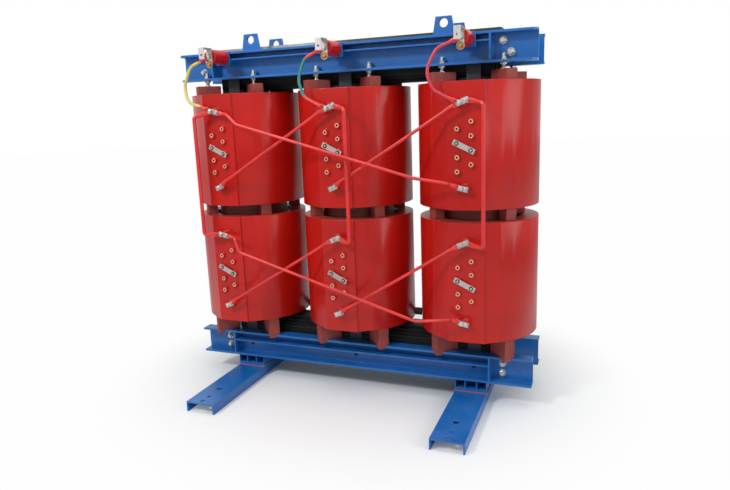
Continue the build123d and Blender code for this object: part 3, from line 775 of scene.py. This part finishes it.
# ---- sub-assemblies ------------------------------------------------------------
@dataclass
class TapField:
    """Brass inserts on the tap panels, and the near-black painted shade in their holes."""

    layout: Layout
    insert: float = 0.0120
    hole: float = 0.0058
    proud: float = 0.0015

    def build(self, shop: Workshop) -> None:
        """Turns every open insert with its blind hole."""
        mesh = bmesh.new()
        face = self.layout.panel - self.layout.tap_out
        profile = [(0.0, 0.0002), (self.hole * 0.92, 0.0002), (self.hole, 0.0008),
                   (self.hole, self.proud - 0.0008), (self.hole + 0.001, self.proud),
                   (self.insert - 0.001, self.proud), (self.insert, self.proud - 0.001),
                   (self.insert, 0.0)]
        for tx, tz in self.layout.open_taps():
            lathe(mesh, profile, frame_at((tx, face, tz), FRONT), 28)
        shop.piece("tap_inserts_turned", mesh, Finish.BRASS, ["tap_inserts"])
        self.holes(shop, face)

    def holes(self, shop: Workshop, face: float) -> None:
        """Painted shade: near-black discs at the floors of the threaded holes."""
        mesh = bmesh.new()
        reach = self.hole * 0.98
        disc = [(0.0, 0.0), (reach, 0.0), (reach, 0.0002), (0.0, 0.0002)]
        for tx, tz in self.layout.open_taps():
            lathe(mesh, disc, frame_at((tx, face - 0.0004, tz), FRONT), 20)
        shop.piece("tap_hole_painted_shade", mesh, Finish.VOID)


@dataclass
class Hardware:
    """Threads and washers on the studs, cross rods and terminals."""

    layout: Layout
    pitch: float = 0.0025
    stud: float = 0.010
    stud_washer: float = 0.0028
    block_top: float = 1.835
    rod: float = 0.011
    rod_start: float = 0.017

    def threads(self, mesh: bmesh.types.BMesh, place: Matrix, radius: float, length: float) -> None:
        """Adds thread crests along an axis."""
        profile = [(radius * 0.90, 0.0)]
        count = int(length / self.pitch)
        for k in range(count):
            profile.append((radius + 0.0001, k * self.pitch + 0.0002))
            profile.append((radius + 0.0007, (k + 0.5) * self.pitch))
        profile.append((radius * 0.80, count * self.pitch + 0.0008))
        profile.append((0.0, count * self.pitch + 0.0008))
        lathe(mesh, profile, place, 20)

    def build(self, shop: Workshop) -> None:
        """Threads on studs and rods, and washers under every nut and head."""
        lay = self.layout
        low, high = lay.flange
        threads = bmesh.new()
        washers = bmesh.new()
        ring = washer_profile(self.stud + 0.0005, 0.0215, 0.0, self.stud_washer)
        foot = [(0.0, 0.0), (0.017, 0.0), (0.017, 0.003), (0.0, 0.003)]
        for at in lay.studs():
            self.threads(threads, Matrix.Translation((*at, high + 0.014)), self.stud, 0.019)
            self.threads(threads, Matrix.Translation((*at, self.block_top + 0.001)), self.stud, 0.018)
            lathe(washers, ring, Matrix.Translation((*at, high)), 28)
            lathe(washers, ring, Matrix.Translation((*at, low - self.stud_washer)), 28)
            lathe(washers, foot, Matrix.Translation((*at, self.block_top)), 24)
        for x, side, z in lay.rods():
            place = frame_at((x, side * (lay.web + self.rod_start), z), (0.0, float(side), 0.0))
            self.threads(threads, place, self.rod, 0.0085)
        shop.piece("stud_threads", threads, Finish.ZINC)
        for seat, _ in lay.bar_bolts():
            lathe(washers, washer_profile(0.004, 0.0132, 0.0, 0.0018), frame_at(seat, FRONT), 24)
        shop.piece("washers", washers, Finish.ZINC)


@dataclass
class Fasteners:
    """Heads and nuts, with chamfers and washers."""

    layout: Layout
    small: float = 0.019
    link: float = 0.017
    large: float = 0.032
    head: float = 0.008
    ring_drop: float = 0.044
    ring: float = 0.021

    def build(self, shop: Workshop) -> None:
        """Makes every group of fasteners in its own piece."""
        self.terminals(shop)
        self.links(shop)
        self.straps(shop)
        self.studs(shop)
        self.rods(shop)

    def terminals(self, shop: Workshop) -> None:
        """Two heads on every coil terminal."""
        mesh = bmesh.new()
        for seat, side in self.layout.bar_bolts():
            turn = 17.0 * side + seat[0] * 90.0
            hexagon(mesh, frame_at(seat, FRONT), self.small * 0.9, 0.0018, self.head, turn=turn)
        shop.piece("terminal_heads", mesh, Finish.ZINC, ["terminal_bolts"], 25.0)

    def links(self, shop: Workshop) -> None:
        """Heads at both ends of every tap link, each on a near-black disc that paints the shade of a
        countersink.
        """
        mesh = bmesh.new()
        shade = bmesh.new()
        face = self.layout.panel - self.layout.tap_out - self.layout.bar_thick
        # near-black discs under the heads paint the shade of the countersinks
        sink_shade_disc = [(0.0, 0.0), (0.0112, 0.0), (0.0112, 0.0003), (0.0, 0.0003)]
        for tx, tz in self.layout.linked_taps():
            place = frame_at((tx, face, tz), FRONT)
            lathe(shade, sink_shade_disc, place, 24)
            hexagon(mesh, place, self.link * 0.66, 0.0003, 0.005, 0.001, 2280.0 * tx)
        shop.piece("tap_link_heads", mesh, Finish.ZINC, ["tap_link_bolts"], 25.0)
        shop.piece("tap_link_sink_shade", shade, Finish.VOID)

    def straps(self, shop: Workshop) -> None:
        """Brass rings with their bolts at the straps' feet, and the heads on the axes."""
        brass = bmesh.new()
        zinc = bmesh.new()
        lay = self.layout
        r = self.ring
        profile = [(0.0, 0.0), (r - 0.0008, 0.0), (r, 0.0008), (r, 0.0040), (r - 0.001, 0.0050),
                   (r - 0.0045, 0.0050), (r - 0.0055, 0.0034), (0.0125, 0.0034), (0.0118, 0.0048),
                   (0.0, 0.0048)]
        for axis in lay.insulators():
            place = frame_at((axis, lay.strap_face, lay.strap_z - self.ring_drop), FRONT)
            lathe(brass, profile, place, 36)
            hexagon(brass, place, self.small * 0.85, 0.0048, 0.0128, turn=11.0)
            place = frame_at((axis, lay.strap_face - lay.palm_thick, lay.strap_z), FRONT)
            hexagon(zinc, place, self.small, 0.0, self.head, turn=20.0)
        shop.piece("strap_rings", brass, Finish.RING, ["strap_bolts"], 25.0)
        shop.piece("strap_heads", zinc, Finish.ZINC, smooth=25.0)

    def studs(self, shop: Workshop) -> None:
        """Nuts above and below the flange on every pressing stud."""
        mesh = bmesh.new()
        low, high = self.layout.flange
        flats = self.large * 0.94
        for at in self.layout.studs():
            above = Matrix.Translation((*at, 0.0))
            below = above @ Matrix.Rotation(math.pi, 4, "X")
            hexagon(mesh, above, flats, high + 0.0028, high + 0.016, 0.0018, 13.0)
            hexagon(mesh, below, flats, 0.0028 - low, 0.0112 - low, 0.0018, 31.0)
        shop.piece("stud_nuts_turned", mesh, Finish.ZINC, ["stud_nuts"], 25.0)

    def rods(self, shop: Workshop) -> None:
        """Nuts and washers on both ends of the cross rods."""
        mesh = bmesh.new()
        for x, side, z in self.layout.rods():
            place = frame_at((x, side * self.layout.web, z), (0.0, float(side), 0.0))
            lathe(mesh, washer_profile(0.0112, 0.0208, 0.0, 0.003), place, 32)
            hexagon(mesh, place, self.large * 0.95, 0.003, 0.0188, 0.002, 400.0 * z)
        shop.piece("rod_nuts_turned", mesh, Finish.ZINC, ["cross_rod_nuts"], 25.0)


def palms_on(lay: Layout, x: float, level: int, top: bool, side: int) -> int:
    """How many palms lie under one terminal bolt."""
    if top:
        return 2 if level == 1 and side < 0 else 1
    right_used = x < lay.pitch - 0.001
    used = side > 0 if right_used else side < 0
    return 1 if used else 0


@dataclass(frozen=True)
class Tail:
    """One conductor's end at a terminal: where it is bolted and how it leaves."""

    x: float
    z: float
    angle: float
    face: float
    radius: float


@dataclass
class SleeveEnds:
    """Shrink sleeves drawn over the flattened ends of links and leads."""

    layout: Layout
    rod: float = 0.0085
    riser: float = 0.011
    lead: float = 0.0085
    start: float = 0.0138
    barrel: float = 0.0275
    barrel_end: float = 0.048
    end: float = 0.058

    def tails(self) -> List[Tail]:
        """Every sleeved end of a link, riser or lead."""
        lay = self.layout
        face = lay.palm_face()
        pitch = lay.pitch
        ends: List[Tail] = []
        for level in (0, 1):
            for x in (0.0, pitch):
                ends.append(Tail(*lay.bolt(x, level, True, -1), 205.0, face, self.rod))
                ends.append(Tail(*lay.bolt(x - pitch, level, False, 1), 40.0, face, self.rod))
        ends.append(Tail(*lay.bolt(-pitch, 1, True, 1), -10.0, face, self.rod))
        ends.append(Tail(*lay.bolt(pitch, 1, False, -1), 158.0, face, self.rod))
        ends.append(Tail(*lay.bolt(-pitch, 0, True, 1), -5.0, face, self.rod))
        ends.append(Tail(*lay.bolt(pitch, 0, False, -1), 155.0, face, self.rod))
        for x, side, high, low in ((-pitch, -1, 198.0, 180.0), (0.0, 1, -12.0, -20.0),
                                   (pitch, 1, -10.0, -14.0)):
            ends.append(Tail(*lay.bolt(x, 1, True, side), high, face, self.riser))
            ends.append(Tail(*lay.bolt(x, 0, True, side), low, face, self.riser))
        for x, axis in zip(lay.phases(), lay.insulators()):
            bolt = lay.bolt(x, 1, True, -1)
            ends.append(Tail(*bolt, 152.0, face - lay.palm_thick, self.lead))
            ends.append(Tail(axis, lay.strap_z, 205.0, lay.strap_face, self.lead))
        return ends

    def section(self, tail: Tail, reach: float, wide: float, thick: float, depth: float) -> List[Vector]:
        """One rounded section across a sleeve.

        Args:
            tail: the end that it belongs to.
            reach: distance from the bolt along the end.
            wide: half width in the plane of the palm.
            thick: half thickness across the palm.
            depth: how far the centre stands off the palm's seat.

        Returns:
            The section's points in the row frame.
        """
        angle = math.radians(tail.angle)
        along = Vector((math.cos(angle), 0.0, math.sin(angle)))
        across = Vector((-math.sin(angle), 0.0, math.cos(angle)))
        centre = Vector((tail.x, tail.face - depth, tail.z)) + along * reach
        points = []
        for k in range(20):
            turn = 2.0 * math.pi * k / 20
            side = math.copysign(abs(math.cos(turn)) ** 0.8, math.cos(turn)) * wide
            up = math.copysign(abs(math.sin(turn)) ** 0.8, math.sin(turn)) * thick
            points.append(centre + across * side + Vector(FRONT) * up)
        return points

    def build(self, shop: Workshop) -> None:
        """Lofts each sleeve from its flat mouth to the round conductor."""
        mesh = bmesh.new()
        rise = (self.start + self.barrel) / 2.0
        bend = (self.barrel_end + self.end) / 2.0
        for tail in self.tails():
            seat = tail.radius + 0.001
            full = tail.radius + 0.0018
            thin = tail.radius + 0.0007
            sections = [
                self.section(tail, self.start, 0.0132, 0.0026, 0.0029),
                self.section(tail, self.start + 0.0012, 0.0142, 0.0033, 0.0035),
                self.section(tail, rise, 0.0142, full * 0.62, seat * 0.66),
                self.section(tail, self.barrel - 0.0010, full + 0.0030, full, seat),
                self.section(tail, self.barrel + 0.0060, full + 0.0012, full, seat),
                self.section(tail, self.barrel_end, full, full, seat),
                self.section(tail, bend, thin + 0.0002, thin + 0.0002, seat),
                self.section(tail, self.end, thin, thin, seat),
            ]
            loft(mesh, sections)
        shop.piece("sleeve_ends_link_red", mesh, Finish.LINK, smooth=50.0)


@dataclass
class Insulators:
    """Post insulators, smooth castings with a collar at the bracket."""

    layout: Layout
    base: float = -0.214
    length: float = 0.130

    def build(self, shop: Workshop) -> None:
        """Turns the three bodies."""
        mesh = bmesh.new()
        profile = [(0.0, 0.0), (0.0410, 0.0), (0.0428, 0.003), (0.0428, 0.012), (0.0412, 0.018),
                   (0.0408, 0.050), (0.0400, 0.090), (0.0390, self.length - 0.010)]
        for k in range(5):
            angle = math.pi / 8.0 * k
            profile.append((0.0310 + 0.008 * math.cos(angle), self.length - 0.008 + 0.008 * math.sin(angle)))
        profile.append((0.0, self.length))
        for axis in self.layout.insulators():
            lathe(mesh, profile, frame_at((axis, self.base, self.layout.strap_z), FRONT), 56)
        shop.piece("insulator_bodies", mesh, Finish.RESIN, ["insulators"])


@dataclass
class Welds:
    """Weld beads on the frame."""

    layout: Layout
    bead: float = 0.0045
    lug_x: float = 0.576
    lug_half: float = 0.057
    top: float = 2.022
    plate_sides: Tuple[float, float] = (0.144, 0.160)
    stiffener: float = 0.823
    webs: Tuple[Point2, ...] = ((0.146, 0.280), (1.880, 2.009))
    rail: float = 0.7175
    pedestal_half: float = 0.090
    pedestal_top: float = 0.133
    pedestal_reach: float = 0.188

    def bead_along(self, mesh: bmesh.types.BMesh, start: Point, end: Point, size: float) -> None:
        """Adds one rippled bead between two points."""
        a, b = Vector(start), Vector(end)
        count = max(4, int((b - a).length / 0.004))
        place = frame_at(start, tuple(b - a))
        step = (b - a).length / count
        profile = [(0.0, -size * 0.5)]
        for k in range(count + 1):
            swell = size * (1.0 if k % 2 == 0 else 0.86)
            profile.append((swell, k * step))
        profile.append((0.0, (b - a).length + size * 0.5))
        lathe(mesh, profile, place, 10)

    def build(self, shop: Workshop) -> None:
        """Beads at the lifting eyes, stiffeners and pedestals."""
        mesh = bmesh.new()
        for sx in (-1, 1):
            for sy in (-1, 1):
                for y in self.plate_sides:
                    x0 = sx * self.lug_x - self.lug_half
                    x1 = sx * self.lug_x + self.lug_half
                    self.bead_along(mesh, (x0, sy * y, self.top), (x1, sy * y, self.top), self.bead)
                face = sy * (self.layout.web + 0.0002)
                for z0, z1 in self.webs:
                    for dx in (-0.005, 0.005):
                        x = sx * self.stiffener + dx
                        self.bead_along(mesh, (x, face, z0), (x, face, z1), 0.004)
            for dx in (-self.pedestal_half, self.pedestal_half):
                x, z, reach = sx * self.rail + dx, self.pedestal_top, self.pedestal_reach
                self.bead_along(mesh, (x, -reach, z), (x, reach, z), 0.003)
        shop.piece("weld_beads", mesh, Finish.FRAME, smooth=60.0)


# ---- studio --------------------------------------------------------------------
@dataclass(frozen=True)
class Studio:
    """Pale floor, plain soft light and the camera."""

    camera_at: Point = (1.40257, -3.50509, 1.63584)
    yaw: float = 21.376
    pitch: float = 11.764
    roll: float = -2.178
    lens: float = 30.985
    sensor: float = 36.0
    sky: float = 0.52
    mirrored: float = 0.7
    fade_from: float = 0.75
    fade_to: float = 1.75

    def floor(self) -> None:
        """A pale floor that fades into the white surroundings."""
        g = Graph("studio_floor")
        x, y, _ = g.axes()
        away = (x * x + y * y) ** 0.5
        plain = g.node("ShaderNodeBsdfDiffuse", {}, {"Color": (0.790, 0.812, 0.812)})
        glow = g.node("ShaderNodeEmission", {}, {"Color": (1.0, 1.0, 1.0), "Strength": 0.99})
        rays = g.node("ShaderNodeLightPath")
        seen = Value(g, rays.outputs["Is Camera Ray"])
        fade = away.step(self.fade_from, self.fade_to) * seen
        both = g.node("ShaderNodeMixShader", {}, {0: fade, 1: plain.outputs[0], 2: glow.outputs[0]})
        bpy.ops.mesh.primitive_plane_add(size=60.0, location=(0.0, 0.0, 0.0))
        plane = bpy.context.object
        plane.name = "studio_floor"
        plane.data.materials.append(g.close(both))

    def world(self) -> None:
        """Even sky light; white where the camera, and mostly where a reflection, sees it."""
        g = Graph("studio_sky", world=True)
        rays = g.node("ShaderNodeLightPath")
        seen = Value(g, rays.outputs["Is Glossy Ray"]) * self.mirrored
        seen = seen + Value(g, rays.outputs["Is Camera Ray"])
        sky = {"Color": (0.93, 0.96, 1.0), "Strength": self.sky}
        light = g.node("ShaderNodeBackground", {}, sky)
        white = g.node("ShaderNodeBackground", {}, {"Color": (1.0, 1.0, 1.0), "Strength": 1.0})
        inputs = {0: seen, 1: light.outputs[0], 2: white.outputs[0]}
        bpy.context.scene.world = g.close(g.node("ShaderNodeMixShader", {}, inputs))

    def lamp(self, name: str, at: Point, target: Point, size: float, power: float) -> None:
        """Adds one soft square lamp."""
        data = bpy.data.lights.new(name, "AREA")
        data.shape = "SQUARE"
        data.size = size
        data.energy = power
        lamp = bpy.data.objects.new(name, data)
        bpy.context.scene.collection.objects.link(lamp)
        lamp.matrix_world = frame_at(at, tuple(Vector(at) - Vector(target)))

    def camera(self) -> None:
        """The camera, from its place and three angles."""
        yaw, pitch, roll = (math.radians(a) for a in (self.yaw, self.pitch, self.roll))
        look = Vector((-math.sin(yaw) * math.cos(pitch), math.cos(yaw) * math.cos(pitch), -math.sin(pitch)))
        flat = Vector((math.cos(yaw), math.sin(yaw), 0.0))
        up = flat.cross(look)
        right = flat * math.cos(roll) + up * math.sin(roll)
        top = up * math.cos(roll) - flat * math.sin(roll)
        data = bpy.data.cameras.new("studio_camera")
        data.sensor_width = self.sensor
        data.lens = self.lens
        camera = bpy.data.objects.new("studio_camera", data)
        bpy.context.scene.collection.objects.link(camera)
        turn = Matrix((right, top, -look)).transposed().to_4x4()
        camera.matrix_world = Matrix.Translation(Vector(self.camera_at)) @ turn
        bpy.context.scene.camera = camera

    def build(self) -> None:
        """Sets up the whole studio."""
        bpy.context.scene.view_settings.view_transform = "Standard"
        self.floor()
        self.world()
        self.lamp("key", (-2.2, -4.1, 4.5), (0.0, 0.0, 1.0), 0.9, 162.0)
        self.lamp("top", (0.6, -0.6, 5.4), (0.0, 0.0, 1.0), 3.6, 105.0)
        self.lamp("side", (4.6, -1.6, 2.4), (0.5, 0.0, 1.0), 2.4, 60.0)
        self.camera()
        log.info("studio: ready")


# ---- dressing the CAD nodes -----------------------------------------------------
@dataclass(frozen=True)
class Softener:
    """Rounds the sharp edges of the CAD nodes, wider on larger pieces."""

    widths: Tuple[Tuple[str, float], ...] = (
        ("hv_coil", 0.0045), ("top_blocks", 0.003), ("foot_blocks", 0.003), ("spacer_blocks", 0.003),
        ("rail_pads", 0.001), ("rail_", 0.0022), ("pedestal", 0.0015), ("lower_clamp", 0.0020),
        ("upper_clamp", 0.0020), ("lifting_lugs", 0.0018), ("insulator_brackets", 0.0015),
        ("terminal_straps", 0.0010), ("terminal_bars", 0.0009), ("tap_links", 0.0009),
        ("lv_bars", 0.0015), ("lv_star_bar", 0.0015), ("tie_plates", 0.0010),
    )

    def apply(self, nodes: Dict[str, bpy.types.Object]) -> None:
        """Adds weld and bevel modifiers by the start of each node's name."""
        for name, node in nodes.items():
            width = next((w for start, w in self.widths if name.startswith(start)), None)
            if width is None:
                continue
            weld = node.modifiers.new("weld", "WELD")
            weld.merge_threshold = 0.00002
            flat = node.modifiers.new("flat", "DECIMATE")
            flat.decimate_type = "DISSOLVE"
            flat.angle_limit = math.radians(0.5)
            bevel = node.modifiers.new("round", "BEVEL")
            bevel.width = width
            bevel.segments = 2
            bevel.limit_method = "ANGLE"
            bevel.angle_limit = math.radians(42.0)
            bevel.harden_normals = True
            bevel.use_clamp_overlap = True


def dress_frame(palette: Palette) -> None:
    """Gives every CAD node the finish of its slot."""
    slots = {part["node"]: part["material_slot"] for part in frame["record"]["subparts"]}
    for name, node in frame["nodes"].items():
        finish = Finish(slots[name])
        node.data.materials.clear()
        node.data.materials.append(palette.of(finish))
    log.info("frame: %d nodes dressed", len(frame["nodes"]))


def main() -> None:
    """Builds the dressed transformer in its studio."""
    palette = Palette()
    dress_frame(palette)
    Softener().apply(frame["nodes"])
    shop = Workshop(palette)
    layout = Layout()
    parts = (TapField(layout), Fasteners(layout), Hardware(layout), SleeveEnds(layout), Insulators(layout),
             Welds(layout))
    for part in parts:
        part.build(shop)
        log.info("%s: built", type(part).__name__)
    Studio().build()


if __name__ == "__main__":
    main()
